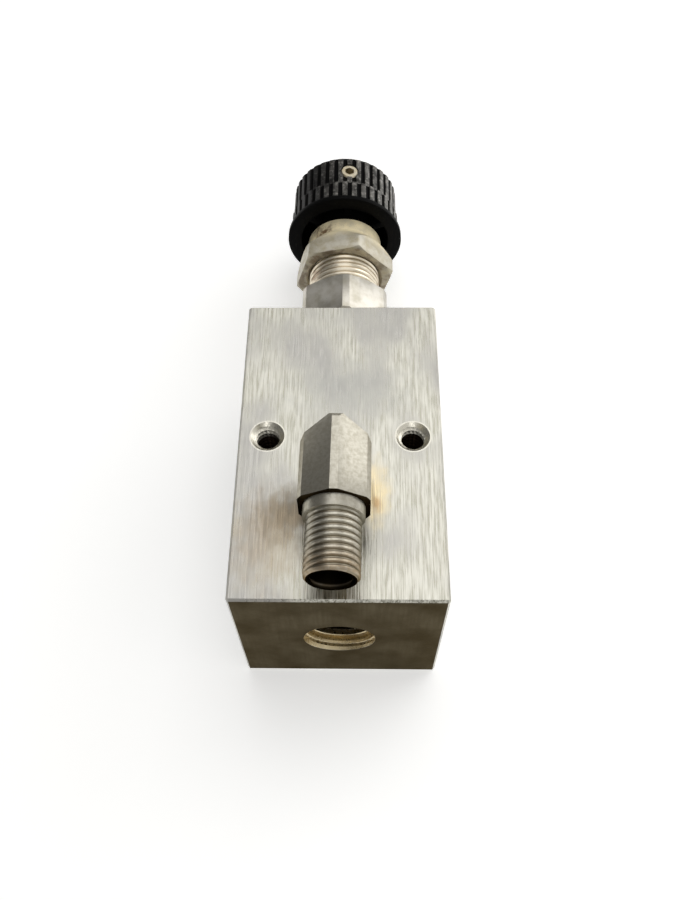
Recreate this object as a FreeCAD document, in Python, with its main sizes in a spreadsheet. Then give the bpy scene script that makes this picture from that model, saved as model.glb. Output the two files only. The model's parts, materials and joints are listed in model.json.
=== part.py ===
"""A direct-acting hydraulic relief valve in a square bar-stock body, with an elbow outlet and an adjusting knob.

The valve lies on its back face. +Y runs from the inlet port to the knob, +Z comes out of the front face, and the
origin is halfway between the two mounting holes on the back face. Places along the valve's own axis are measured
from the inlet end of the block, and a body on that axis is placed so that its local Y is that measure.
"""
import FreeCAD, Part
import math
import os
from types import SimpleNamespace

import Sketcher

# Driving dimensions, in millimetres, degrees or plain counts
SIZES = {
    # The block: square bar, two tapped holes right through it
    "block_width": 44.45,
    "block_depth": 44.45,
    "block_length": 74.6,
    "block_edge": 0.5,
    "port_to_holes": 38.1,
    "hole_from_side": 6.35,
    "hole_drill": 5.1,
    "hole_mouth": 7.4,
    # Inlet port in the end face, with the wide chamfer that takes an O-ring
    "inlet_bore": 12.9,
    "inlet_mouth": 15.6,
    "inlet_mouth_slope": 0.6,
    "inlet_mouth_depth": 2.5,
    "inlet_depth": 12.5,
    # The web that holds the seat, and the long bore above it
    "web_thickness": 5.0,
    "works_bore": 16.0,
    "thread_play": 0.075,
    "bonnet_hole_depth": 12.6,
    "seal_mouth": 21.4,
    "seal_mouth_depth": 2.4,
    # Outlet port in the front face, a taper thread
    "outlet_from_end": 25.4,
    "outlet_offset": -0.6,
    "outlet_thread": 13.7,
    "outlet_taper": 0.32,
    "outlet_thread_depth": 10.0,
    "outlet_drill": 8.7,
    "outlet_drill_stop": 5.0,
    # Elbow: hexagon section with flattened corners, the tube thread parallel to the front face
    "elbow_turn": 1.0,
    "elbow_across_flats": 14.3,
    "elbow_corner_flat": 1.6,
    "elbow_height": 9.8,
    "elbow_shoulder": 9.7,
    "elbow_round": 1.3,
    "elbow_foot": 1.5,
    "elbow_neck": 12.4,
    "elbow_neck_length": 2.5,
    "tube_thread": 11.11,
    "tube_thread_length": 12.8,
    "tube_thread_chamfer": 0.6,
    "tube_cone_mouth": 8.4,
    "tube_socket": 6.4,
    "tube_cone_depth": 4.4,
    "tube_socket_depth": 8.0,
    "elbow_bore": 4.8,
    # Seat screwed into the web
    "seat_thread": 10.2,
    "seat_bore": 6.0,
    "seat_flange_height": 3.0,
    "seat_nose": 9.2,
    "seat_nose_height": 1.5,
    "seat_chamfer": 0.8,
    "seat_slot": 2.0,
    "seal_section": 1.3,
    "seal_reach": 2.0,
    # Poppet, its guide and the plastic ring that rides in the bore
    "poppet_play": 0.05,
    "poppet_tip": 4.4,
    "poppet_head": 9.0,
    "poppet_head_height": 2.0,
    "poppet_stem": 5.0,
    "guide_gap": 9.0,
    "guide_thickness": 5.0,
    "guide_flange": 15.2,
    "guide_socket_depth": 3.5,
    "pilot_height": 5.0,
    "ring_groove_depth": 1.1,
    "ring_width": 2.2,
    "running_play": 0.05,
    "fit_play": 0.03,
    # Main spring, of square wire
    "spring_wire": 2.2,
    "spring_outer": 13.4,
    "spring_length": 44.0,
    "spring_turns": 7.0,
    "pilot_play": 0.25,
    # Upper spring guide and the hardened disc that the stem turns on
    "upper_guide_thickness": 3.0,
    "upper_guide_play": 0.1,
    "disc": 8.0,
    "disc_thickness": 1.6,
    # Adjusting stem
    "travel_out": 3.9,
    "travel_room": 0.7,
    "piston": 9.9,
    "piston_length": 11.4,
    "piston_groove_start": 6.0,
    "piston_groove_width": 3.0,
    "piston_groove_floor": 7.2,
    "backup_width": 1.2,
    "stem_thread": 7.94,
    "stem_shaft": 6.35,
    "stem_top_gap": 0.5,
    "stop_gap": 1.25,
    "stop_ring": 11.0,
    "stop_ring_thickness": 0.8,
    "stop_groove_floor": 5.2,
    "stop_ring_mouth": 4.0,
    # Bonnet
    "bonnet_turn": 3.4,
    "bonnet_thread": 19.05,
    "bonnet_thread_gap": 0.3,
    "bonnet_undercut": 16.9,
    "bonnet_undercut_length": 2.6,
    "bonnet_chamber": 14.4,
    "collar": 21.6,
    "collar_height": 7.4,
    "bonnet_across_flats": 22.225,
    "bonnet_blank": 24.7,
    "bonnet_hexagon_height": 12.3,
    "hexagon_chamfer": 1.1,
    "panel_relief": 17.4,
    "panel_relief_length": 0.9,
    "panel_thread_length": 20.9,
    "thread_chamfer": 0.8,
    "bonnet_seal_section": 1.55,
    # Panel nut
    "nut_turn": 17.0,
    "nut_across_flats": 23.8,
    "nut_blank": 27.2,
    "nut_gap": 8.4,
    "nut_edge_height": 4.3,
    "nut_height": 12.9,
    "nut_top": 20.4,
    "nut_top_height": 3.9,
    "nut_foot_chamfer": 0.5,
    # Knob
    "knob_turn": 5.7,
    "knob_gap": 2.1,
    "knob_flange": 32.0,
    "knob_flange_thickness": 1.3,
    "lower_tier": 30.3,
    "lower_tier_height": 6.4,
    "upper_tier": 29.4,
    "upper_tier_height": 10.3,
    "knob_crown": 0.9,
    "flute_count": 36,
    "flute_width": 1.4,
    "flute_floor": 0.7,
    "flute_depth": 0.65,
    "knob_hub": 17.0,
    "knob_hollow": 24.6,
    "knob_roof": 2.3,
    "knob_rib": 1.8,
    "knob_rib_count": 6,
    "knob_rib_setback": 1.6,
    "screw_boss": 8.0,
    # Brass insert and set screw
    "insert": 12.6,
    "insert_foot": 0.7,
    "insert_play": 0.03,
    "screw_from_top": 5.5,
    "screw": 4.83,
    "screw_recess": 0.35,
    "screw_edge": 0.3,
    "screw_socket": 2.38,
    "screw_socket_depth": 3.0,
    "screw_point": 2.4,
}

ROUND = 360.0


class Size:
    """A length that carries its number and the sheet formula that it comes from."""

    def __init__(self, number, formula):
        self.number = float(number)
        self.formula = formula

    @staticmethod
    def of(thing):
        return thing if isinstance(thing, Size) else Size(thing, repr(float(thing)))

    def __add__(self, other):
        other = Size.of(other)
        return Size(self.number + other.number, f"({self.formula} + {other.formula})")

    def __sub__(self, other):
        other = Size.of(other)
        return Size(self.number - other.number, f"({self.formula} - {other.formula})")

    def __mul__(self, share):
        return Size(self.number * share, f"({self.formula} * {share!r})")

    def __truediv__(self, share):
        return Size(self.number / share, f"({self.formula} / {share!r})")

    def __neg__(self):
        return Size(-self.number, f"(0 - {self.formula})")


document = FreeCAD.newDocument("ReliefValve")
sheet = document.addObject("Spreadsheet::Sheet", "Sizes")
for row, (word, number) in enumerate(SIZES.items(), start=1):
    sheet.set(f"A{row}", word.replace("_", " "))
    sheet.set(f"B{row}", str(number))
    sheet.setAlias(f"B{row}", word)
document.recompute()

size = SimpleNamespace(**{word: Size(number, f"Sizes.{word}") for word, number in SIZES.items()})
zero = Size.of(0.0)


# Places along the valve's axis, each measured from the inlet end of the block
web_start = size.inlet_depth
web_end = web_start + size.web_thickness
seat_flange_top = web_end + size.seat_flange_height
seat_lip = seat_flange_top + size.seat_nose_height
guide_start = seat_lip + size.guide_gap
spring_start = guide_start + size.guide_thickness
spring_end = spring_start + size.spring_length
upper_guide_top = spring_end + size.upper_guide_thickness
stem_start = upper_guide_top + size.disc_thickness + size.fit_play
piston_top = stem_start + size.piston_length
chamber_end = upper_guide_top + size.travel_out + size.travel_room
piston_bore_end = piston_top + size.travel_out + size.travel_room
bonnet_start = size.block_length - size.bonnet_hole_depth + size.bonnet_thread_gap
hexagon_start = size.block_length + size.collar_height
hexagon_end = hexagon_start + size.bonnet_hexagon_height
bonnet_top = hexagon_end + size.panel_thread_length
nut_start = hexagon_end + size.nut_gap
knob_start = bonnet_top + size.knob_gap
flange_top = knob_start + size.knob_flange_thickness
lower_tier_top = flange_top + size.lower_tier_height
knob_top = lower_tier_top + size.upper_tier_height
insert_top = knob_top - size.knob_roof
axis_height = size.block_depth / 2

# Radii that two pieces share
works_radius = size.works_bore / 2
bonnet_thread_radius = size.bonnet_thread / 2
bonnet_tap_radius = bonnet_thread_radius + size.thread_play
piston_radius = size.piston / 2
piston_bore_radius = piston_radius + size.running_play
shaft_radius = size.stem_shaft / 2


def require(good, message):
    if not good:
        raise ValueError(message)


def place(body, x, y, z, turn=None, about=FreeCAD.Vector(0, 1, 0)):
    """Puts a piece at a place given by three sizes, turned about one axis."""
    angle = turn.number if turn else 0.0
    where = FreeCAD.Vector(x.number, y.number, z.number)
    body.Placement = FreeCAD.Placement(where, FreeCAD.Rotation(about, angle))
    body.setExpression("Placement.Base.x", x.formula)
    body.setExpression("Placement.Base.y", y.formula)
    body.setExpression("Placement.Base.z", z.formula)


def new_body(label, x=zero, y=-size.port_to_holes, z=axis_height, turn=None, about=FreeCAD.Vector(0, 1, 0)):
    body = document.addObject("PartDesign::Body", label)
    body.Label = label
    place(body, x, y, z, turn, about)
    return body


def sketch_on(body, plane, level=None, across=None):
    """An empty sketch on one of the body's own planes, lifted off it by level and slid along by across."""
    sketch = body.newObject("Sketcher::SketchObject", "Sketch")
    support = next(part for part in body.Origin.OriginFeatures if part.Role == plane)
    sketch.AttachmentSupport = (support, [""])
    sketch.MapMode = "FlatFace"
    level = level or zero
    across = across or zero
    sketch.AttachmentOffset = FreeCAD.Placement(
        FreeCAD.Vector(across.number, 0, level.number), FreeCAD.Rotation())
    sketch.setExpression("AttachmentOffset.Base.x", across.formula)
    sketch.setExpression("AttachmentOffset.Base.z", level.formula)
    return sketch


def bind(sketch, kind, *where_and_size):
    """Adds one dimension to a sketch and ties it to its formula."""
    *where, length = where_and_size
    index = sketch.addConstraint(Sketcher.Constraint(kind, *where, length.number))
    sketch.setExpression(f"Constraints[{index}]", length.formula)


def loop(sketch, corners):
    """A closed outline of straight lines, each corner held by two sizes."""
    corners = [(Size.of(x), Size.of(y)) for x, y in corners]
    spots = [FreeCAD.Vector(x.number, y.number, 0) for x, y in corners]
    first = sketch.GeometryCount
    last = first + len(spots) - 1
    lines = [Part.LineSegment(spots[i], spots[(i + 1) % len(spots)]) for i in range(len(spots))]
    sketch.addGeometry(lines, False)
    for index in range(first, last + 1):
        following = first if index == last else index + 1
        sketch.addConstraint(Sketcher.Constraint("Coincident", index, 2, following, 1))
    for index, (x, y) in enumerate(corners, start=first):
        bind(sketch, "DistanceX", -1, 1, index, 1, x)
        bind(sketch, "DistanceY", -1, 1, index, 1, y)


def outside_round_corner(sketch, corner, radius, reach):
    """The area outside a quarter round that touches x = corner and y = corner, for cutting a rounded corner."""
    middle = corner - radius
    spot = FreeCAD.Vector(middle.number, middle.number, 0)
    whole = Part.Circle(spot, FreeCAD.Vector(0, 0, 1), radius.number)
    sketch.addGeometry(Part.ArcOfCircle(whole, 0, math.pi / 2), False)
    rest = [(middle, corner), (middle, reach), (reach, reach), (reach, middle), (corner, middle)]
    spots = [FreeCAD.Vector(x.number, y.number, 0) for x, y in rest]
    sketch.addGeometry([Part.LineSegment(a, b) for a, b in zip(spots, spots[1:])], False)
    count = sketch.GeometryCount
    for index in range(count):
        following = (index + 1) % count
        sketch.addConstraint(Sketcher.Constraint("Coincident", index, 2, following, 1))
    bind(sketch, "DistanceX", -1, 1, 0, 3, middle)
    for index, (x, y) in enumerate(rest[:-1], start=1):
        bind(sketch, "DistanceX", -1, 1, index, 1, x)
        bind(sketch, "DistanceY", -1, 1, index, 1, y)
    bind(sketch, "DistanceX", -1, 1, 0, 1, corner)
    bind(sketch, "DistanceY", -1, 1, 0, 1, middle)


def circle(sketch, x, y, radius):
    x, y = Size.of(x), Size.of(y)
    middle = FreeCAD.Vector(x.number, y.number, 0)
    index = sketch.addGeometry(Part.Circle(middle, FreeCAD.Vector(0, 0, 1), radius.number), False)
    bind(sketch, "DistanceX", -1, 1, index, 3, x)
    bind(sketch, "DistanceY", -1, 1, index, 3, y)
    bind(sketch, "Radius", index, radius)


def pad(body, sketch, length, reverse=False):
    feature = body.newObject("PartDesign::Pad", "Pad")
    feature.Profile = sketch
    feature.Length = length.number
    feature.setExpression("Length", length.formula)
    feature.Reversed = reverse
    document.recompute()
    return feature


def cut(body, kind, sketch, length=None, reverse=False):
    """A pocket of some length, or a groove turned round the sketch's upright axis; it has to take material away."""
    before = body.Shape.Volume
    feature = body.newObject(kind, "Cut")
    feature.Profile = sketch
    feature.Reversed = reverse
    if length is None:
        feature.ReferenceAxis = (sketch, ["V_Axis"])
        feature.Angle = ROUND
    else:
        feature.Length = length.number
        feature.setExpression("Length", length.formula)
    document.recompute()
    require(body.Shape.Volume < before - 1e-3, f"{body.Label}: a cut took nothing away")
    return feature


def pocket(body, sketch, length, reverse=False):
    return cut(body, "PartDesign::Pocket", sketch, length, reverse)


def groove(body, sketch):
    return cut(body, "PartDesign::Groove", sketch)


def turn_solid(body, sketch):
    feature = body.newObject("PartDesign::Revolution", "Turned")
    feature.Profile = sketch
    feature.ReferenceAxis = (sketch, ["V_Axis"])
    feature.Angle = ROUND
    document.recompute()
    return feature


def turned(label, corners, turn=None):
    """A piece turned about the valve's axis, from corners given as radius and place along the axis."""
    body = new_body(label, turn=turn)
    sketch = sketch_on(body, "XY_Plane")
    loop(sketch, corners)
    turn_solid(body, sketch)
    return body


def squeezed_ring(label, middle_radius, place_along, section, start):
    """A seal as it sits when squeezed, with six sides to its section; two of them lie on the walls that squeeze it."""
    sides = regular(section, 6, start)
    return turned(label, [(middle_radius + x, place_along + y) for x, y in sides])


def around(body, sketch, feature, count):
    """Repeats one feature round the sketch's normal."""
    pattern = body.newObject("PartDesign::PolarPattern", "Around")
    pattern.Originals = [feature]
    pattern.Axis = (sketch, ["N_Axis"])
    pattern.Angle = ROUND
    pattern.Occurrences = int(count.number)
    pattern.setExpression("Occurrences", count.formula)
    body.Tip = pattern
    document.recompute()
    return pattern


def bevel(body, reach, chosen):
    """Chamfers the edges of the body's present shape that chosen picks."""
    base = body.Tip
    names = [f"Edge{i}" for i, edge in enumerate(base.Shape.Edges, start=1) if chosen(edge)]
    require(names, f"{body.Label}: no edge to bevel")
    feature = body.newObject("PartDesign::Chamfer", "Bevel")
    feature.Base = (base, names)
    feature.Size = reach.number
    feature.setExpression("Size", reach.formula)
    document.recompute()
    return feature


def regular(across_flats, count=6, start=90.0):
    """Corners of a regular polygon, the first at an angle from the sketch's X."""
    radius = across_flats / (2 * math.cos(math.pi / count))
    angles = [math.radians(start + ROUND * k / count) for k in range(count)]
    return [(radius * math.cos(angle), radius * math.sin(angle)) for angle in angles]


def mill_flats(body, across_flats, outside, low, high, count=6, start=90.0):
    """Cuts flats all round a turned piece, from low to high along its axis."""
    sketch = sketch_on(body, "XZ_Plane", level=-low)
    circle(sketch, 0, 0, outside)
    loop(sketch, regular(across_flats, count, start))
    pocket(body, sketch, high - low)


# Block

def make_block():
    body = new_body("valve_block", y=zero, z=zero)
    half = size.block_width / 2
    low, high = -size.port_to_holes, size.block_length - size.port_to_holes
    sketch = sketch_on(body, "XY_Plane")
    loop(sketch, [(-half, low), (half, low), (half, high), (-half, high)])
    pad(body, sketch, size.block_depth)
    bevel(body, size.block_edge, lambda edge: True)

    # The cavity, bored from both ends on one axis
    mouth_radius = size.inlet_mouth / 2
    inlet_radius = size.inlet_bore / 2
    neck_radius = mouth_radius - size.inlet_mouth_slope
    seat_tap_radius = size.seat_thread / 2 + size.thread_play
    thread_floor = size.block_length - size.bonnet_hole_depth
    seal_floor = size.block_length - size.seal_mouth_depth
    corners = [
        (zero, zero), (mouth_radius, zero), (neck_radius, size.inlet_mouth_depth),
        (inlet_radius, size.inlet_mouth_depth + neck_radius - inlet_radius), (inlet_radius, web_start),
        (seat_tap_radius, web_start), (seat_tap_radius, web_end), (works_radius, web_end),
        (works_radius, thread_floor), (bonnet_tap_radius, thread_floor), (bonnet_tap_radius, seal_floor),
        (size.seal_mouth / 2, size.block_length), (zero, size.block_length),
    ]
    sketch = sketch_on(body, "XY_Plane", level=axis_height)
    loop(sketch, [(radius, along - size.port_to_holes) for radius, along in corners])
    groove(body, sketch)

    # The outlet port, bored down from the front face into the cavity
    front = size.block_depth
    mouth = size.outlet_thread / 2 + size.thread_play
    thread_end = front - size.outlet_thread_depth
    drill = size.outlet_drill / 2
    drill_end = axis_height + size.outlet_drill_stop
    sketch = sketch_on(body, "YZ_Plane", level=size.outlet_offset, across=size.outlet_from_end - size.port_to_holes)
    loop(sketch, [
        (zero, front), (mouth, front), (mouth - size.outlet_taper, thread_end),
        (drill, thread_end), (drill, drill_end), (zero, drill_end),
    ])
    groove(body, sketch)

    # Two tapped holes right through, countersunk at the front face
    sketch = sketch_on(body, "XY_Plane")
    hole_offset = half - size.hole_from_side
    for side in (-1, 1):
        circle(sketch, hole_offset * side, 0, size.hole_drill / 2)
    pocket(body, sketch, size.block_depth, reverse=True)

    def rim_of_hole(edge):
        return (isinstance(edge.Curve, Part.Circle)
                and abs(edge.Curve.Radius - size.hole_drill.number / 2) < 1e-3
                and abs(edge.Curve.Center.z - front.number) < 1e-3)

    bevel(body, (size.hole_mouth - size.hole_drill) / 2, rim_of_hole)
    return body


# Elbow

def hexagon_with_flat_corners(across_flats, corner_flat):
    """Twelve corners: a hexagon with a corner up, each corner cut back to a narrow flat."""
    corners = []
    for k in range(6):
        angle = math.radians(90 + 60 * k)
        out = across_flats / math.sqrt(3) - corner_flat / (2 * math.sqrt(3))
        for side in (-0.5, 0.5):
            x = out * math.cos(angle) - corner_flat * (side * math.sin(angle))
            y = out * math.sin(angle) + corner_flat * (side * math.cos(angle))
            corners.append((x, y))
    return corners


def outside_upper_half(section, reach):
    """The area beside and above the upper half of a section, for cutting what stands outside it."""
    upper = sorted((corner for corner in section if corner[1].number > 1e-6), key=lambda corner: -corner[0].number)
    right, left = upper[0][0], upper[-1][0]
    return [(right, zero), (reach, zero), (reach, reach), (-reach, reach), (-reach, zero), (left, zero),
            *reversed(upper)]


def make_elbow():
    """Two hexagonal legs meet at a mitre with a rounded outer corner; the origin is where their axes cross."""
    along = size.outlet_from_end - size.port_to_holes
    body = new_body("elbow_fitting", x=size.outlet_offset, y=along, z=size.block_depth + size.elbow_height,
                    turn=-size.elbow_turn, about=FreeCAD.Vector(0, 0, 1))
    section = hexagon_with_flat_corners(size.elbow_across_flats, size.elbow_corner_flat)
    reach = size.elbow_across_flats
    corner_radius = size.elbow_across_flats / math.sqrt(3)

    # Outlet leg, along the front face
    sketch = sketch_on(body, "XZ_Plane", level=-corner_radius)
    loop(sketch, section)
    pad(body, sketch, corner_radius + size.elbow_shoulder)

    # Inlet leg, down to a foot just above the front face
    foot = size.elbow_foot - size.elbow_height
    sketch = sketch_on(body, "XY_Plane", level=foot)
    loop(sketch, section)
    pad(body, sketch, corner_radius - foot)

    # Beyond the crossing axes each leg is trimmed to the other's section
    sketch = sketch_on(body, "XY_Plane", level=corner_radius)
    loop(sketch, outside_upper_half(section, reach))
    pocket(body, sketch, corner_radius * 2)
    sketch = sketch_on(body, "XZ_Plane", level=-corner_radius)
    loop(sketch, outside_upper_half(section, reach))
    pocket(body, sketch, corner_radius * 2, reverse=True)

    # The outer corner of the mitre is rounded in side view
    ridge = section[0][1]
    sketch = sketch_on(body, "YZ_Plane", level=-reach)
    outside_round_corner(sketch, ridge, size.elbow_round, reach)
    pocket(body, sketch, reach * 2, reverse=True)

    # Neck and tube thread on the outlet leg
    neck, thread = size.elbow_neck / 2, size.tube_thread / 2
    neck_end = -(size.elbow_shoulder + size.elbow_neck_length)
    thread_end = neck_end - size.tube_thread_length
    chamfer = size.tube_thread_chamfer
    sketch = sketch_on(body, "XY_Plane")
    loop(sketch, [
        (zero, zero), (neck, zero), (neck, neck_end), (thread, neck_end),
        (thread, thread_end + chamfer), (thread - chamfer, thread_end), (zero, thread_end),
    ])
    turn_solid(body, sketch)

    # Taper thread on the inlet leg
    top = size.outlet_thread / 2
    stub_end = -(size.elbow_height + size.outlet_thread_depth - size.block_edge)
    sketch = sketch_on(body, "XZ_Plane")
    loop(sketch, [(zero, foot), (top, foot), (top, -size.elbow_height),
                  (top - size.outlet_taper, stub_end), (zero, stub_end)])
    turn_solid(body, sketch)

    # Both drillings, the outlet with a cone and a socket for the tube
    bore, socket = size.elbow_bore / 2, size.tube_socket / 2
    cone_end = thread_end + size.tube_cone_depth
    socket_end = thread_end + size.tube_socket_depth
    sketch = sketch_on(body, "XY_Plane")
    loop(sketch, [
        (zero, thread_end), (size.tube_cone_mouth / 2, thread_end), (socket, cone_end),
        (socket, socket_end), (bore, socket_end), (bore, bore), (zero, bore),
    ])
    groove(body, sketch)
    sketch = sketch_on(body, "XZ_Plane")
    loop(sketch, [(zero, stub_end), (bore, stub_end), (bore, bore), (zero, bore)])
    groove(body, sketch)
    return body


# Seat, poppet and what rides on it

def make_seat():
    """Threaded shank, a flange that stands on the web with its seal in a step below it, and the seat's lip."""
    bore, shank, nose = size.seat_bore / 2, size.seat_thread / 2, size.seat_nose / 2
    flange = works_radius - size.running_play * 2
    seal_floor = web_end + size.seal_section
    step = flange - size.seal_reach
    body = turned("seat_insert", [
        (bore, web_start), (shank, web_start), (shank, web_end), (step, web_end), (step, seal_floor),
        (flange, seal_floor), (flange, seat_flange_top), (nose, seat_flange_top), (nose, seat_lip),
        (bore + size.seat_chamfer, seat_lip), (bore, seat_lip - size.seat_chamfer),
    ])
    # A slot across the flange for the spanner, either side of the nose
    sketch = sketch_on(body, "XZ_Plane", level=-(seat_flange_top - size.seat_flange_height / 3))
    half = size.seat_slot / 2
    for side in (-1, 1):
        near, far = (nose + size.running_play) * side, (flange + half) * side
        loop(sketch, [(near, -half), (far, -half), (far, half), (near, half)])
    pocket(body, sketch, size.seat_flange_height)
    section = size.seal_section - size.fit_play
    middle = (step + works_radius) / 2
    squeezed_ring("seat_seal", middle, web_end + size.seal_section / 2, section, start=0.0)
    return body


def make_poppet():
    """Cone at 45 degrees that follows the seat's chamfer with a hair's gap, a head, and a stem into the guide."""
    tip, head, stem = size.poppet_tip / 2, size.poppet_head / 2, size.poppet_stem / 2
    contact = seat_lip - size.seat_chamfer + size.poppet_play
    cone_start = contact - (size.seat_bore / 2 - tip)
    cone_end = contact + (head - size.seat_bore / 2)
    head_end = cone_end + size.poppet_head_height
    stem_end = guide_start + size.guide_socket_depth
    return turned("poppet", [
        (zero, cone_start), (tip, cone_start), (head, cone_end), (head, head_end),
        (stem, head_end), (stem, stem_end), (zero, stem_end),
    ])


def pilot_radius():
    return size.spring_outer / 2 - size.spring_wire - size.pilot_play


def make_lower_guide():
    """Flange with a ring groove, a blind socket for the poppet's stem and a pilot inside the spring."""
    flange = size.guide_flange / 2
    floor = flange - size.ring_groove_depth
    socket = size.poppet_stem / 2 + size.fit_play
    groove_start = guide_start + (size.guide_thickness - size.ring_width) / 2
    groove_end = groove_start + size.ring_width
    socket_end = guide_start + size.guide_socket_depth
    pilot_end = spring_start + size.pilot_height
    body = turned("lower_spring_guide", [
        (zero, socket_end), (socket, socket_end), (socket, guide_start), (flange, guide_start),
        (flange, groove_start), (floor, groove_start), (floor, groove_end), (flange, groove_end),
        (flange, spring_start), (pilot_radius(), spring_start), (pilot_radius(), pilot_end), (zero, pilot_end),
    ])
    inner = floor + size.fit_play
    outer = works_radius - size.running_play
    play = size.fit_play
    turned("guide_ring", [(inner, groove_start + play), (outer, groove_start + play),
                          (outer, groove_end - play), (inner, groove_end - play)])
    return body


def make_spring():
    """Square wire wound on a helix, with both ends ground flat on the guides."""
    middle = (size.spring_outer - size.spring_wire) / 2
    body = new_body("main_spring")
    sketch = sketch_on(body, "XY_Plane")
    sides = regular(size.spring_wire, 4, start=45.0)
    loop(sketch, [(middle + x, spring_start + y) for x, y in sides])
    helix = body.newObject("PartDesign::AdditiveHelix", "Helix")
    helix.Profile = sketch
    helix.ReferenceAxis = (sketch, ["V_Axis"])
    helix.Mode = "height-turns-growth"
    helix.Height = size.spring_length.number
    helix.setExpression("Height", size.spring_length.formula)
    helix.Turns = size.spring_turns.number
    helix.setExpression("Turns", size.spring_turns.formula)
    document.recompute()
    # Grinding both ends square
    outside = size.spring_outer
    for low, high in ((spring_start - size.spring_wire, spring_start), (spring_end, spring_end + size.spring_wire)):
        sketch = sketch_on(body, "XY_Plane")
        loop(sketch, [(zero, low), (outside, low), (outside, high), (zero, high)])
        groove(body, sketch)
    return body


def make_upper_guide():
    """Spring seat on the adjusting side, and the hardened disc on it that takes the stem's thrust."""
    flange = size.bonnet_chamber / 2 - size.upper_guide_play
    pilot_end = spring_end - size.pilot_height
    turned("upper_spring_guide", [
        (zero, pilot_end), (pilot_radius(), pilot_end), (pilot_radius(), spring_end),
        (flange, spring_end), (flange, upper_guide_top), (zero, upper_guide_top),
    ])
    disc, disc_end = size.disc / 2, upper_guide_top + size.disc_thickness
    turned("thrust_disc", [(zero, upper_guide_top), (disc, upper_guide_top), (disc, disc_end), (zero, disc_end)])


# Adjusting stem and its rings

def make_stem():
    """Piston with a seal groove, the adjusting thread, and a plain shaft for the knob."""
    floor, thread = size.piston_groove_floor / 2, size.stem_thread / 2
    groove_start = stem_start + size.piston_groove_start
    groove_end = groove_start + size.piston_groove_width
    stop_start = bonnet_top + size.stop_gap
    stop_end = stop_start + size.stop_ring_thickness + size.fit_play
    stop_floor = size.stop_groove_floor / 2
    shaft_end = insert_top - size.stem_top_gap
    turned("adjusting_stem", [
        (zero, stem_start), (piston_radius, stem_start), (piston_radius, groove_start),
        (floor, groove_start), (floor, groove_end), (piston_radius, groove_end), (piston_radius, piston_top),
        (thread, piston_top), (thread, stop_start), (stop_floor, stop_start), (stop_floor, stop_end),
        (shaft_radius, stop_end), (shaft_radius, shaft_end), (zero, shaft_end),
    ])

    # Seal on the pressure side, backup ring behind it
    section = (size.piston - size.piston_groove_floor) / 2 - size.fit_play * 2
    middle = (floor + piston_radius) / 2
    reach = section / math.sqrt(3)
    squeezed_ring("stem_seal", middle, groove_start + reach + size.fit_play, section, start=30.0)
    backup_start = groove_end - size.fit_play - size.backup_width
    inner, outer = floor + size.fit_play, piston_radius - size.fit_play
    turned("stem_backup_ring", [(inner, backup_start), (outer, backup_start),
                                (outer, backup_start + size.backup_width),
                                (inner, backup_start + size.backup_width)])

    # Snap ring, open on one side so that it pushes on from there
    ring_inner, ring_outer = stop_floor + size.fit_play, size.stop_ring / 2
    ring_end = stop_start + size.stop_ring_thickness
    ring = turned("stem_stop_ring", [(ring_inner, stop_start), (ring_outer, stop_start),
                                     (ring_outer, ring_end), (ring_inner, ring_end)])
    sketch = sketch_on(ring, "XZ_Plane", level=-stop_start)
    half = size.stop_ring_mouth / 2
    loop(sketch, [(-half, -size.stop_ring), (half, -size.stop_ring), (half, zero), (-half, zero)])
    pocket(ring, sketch, size.stop_ring_thickness)


# Bonnet and its seal

def make_bonnet():
    """Spring housing: thread into the block, collar, hexagon and the long panel thread."""
    thread, undercut = bonnet_thread_radius, size.bonnet_undercut / 2
    collar, blank, relief = size.collar / 2, size.bonnet_blank / 2, size.panel_relief / 2
    chamfer, corner = size.thread_chamfer, size.hexagon_chamfer
    chamber = size.bonnet_chamber / 2
    stem_bore = size.stem_thread / 2 + size.thread_play
    undercut_start = size.block_length - size.bonnet_undercut_length
    relief_end = hexagon_end + size.panel_relief_length
    body = turned("bonnet", [
        (chamber, bonnet_start), (thread, bonnet_start), (thread, undercut_start), (undercut, undercut_start),
        (undercut, size.block_length), (collar, size.block_length), (collar, hexagon_start),
        (blank - corner, hexagon_start),
        (blank, hexagon_start + corner), (blank, hexagon_end - corner / 2), (blank - corner, hexagon_end),
        (relief, hexagon_end), (relief, relief_end), (thread, relief_end + thread - relief),
        (thread, bonnet_top - chamfer), (thread - chamfer, bonnet_top), (stem_bore, bonnet_top),
        (stem_bore, piston_bore_end), (piston_bore_radius, piston_bore_end),
        (piston_bore_radius, chamber_end), (chamber, chamber_end),
    ], turn=size.bonnet_turn)
    mill_flats(body, size.bonnet_across_flats, size.bonnet_blank, hexagon_start, hexagon_end)

    section = size.bonnet_seal_section
    reach = section / math.sqrt(3)
    squeezed_ring("bonnet_seal", undercut + section / 2 + size.fit_play,
                  size.block_length - reach - size.fit_play, section, start=30.0)
    return body


# Panel nut

def make_nut():
    """Hexagon nut with a deep cone above its corners and a round collar on top."""
    bore = bonnet_tap_radius
    blank = size.nut_blank / 2
    foot, chamfer = size.nut_foot_chamfer, size.thread_chamfer
    nut_end = nut_start + size.nut_height
    body = turned("panel_nut", [
        (bore + chamfer, nut_start), (blank - foot * 2, nut_start), (blank, nut_start + foot),
        (blank, nut_start + size.nut_edge_height), (size.nut_top / 2, nut_end - size.nut_top_height),
        (size.nut_top / 2, nut_end), (bore, nut_end), (bore, nut_start + chamfer),
    ], turn=size.nut_turn)
    mill_flats(body, size.nut_across_flats, size.nut_blank, nut_start, nut_end)
    return body


# Knob, its insert and its set screw

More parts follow.
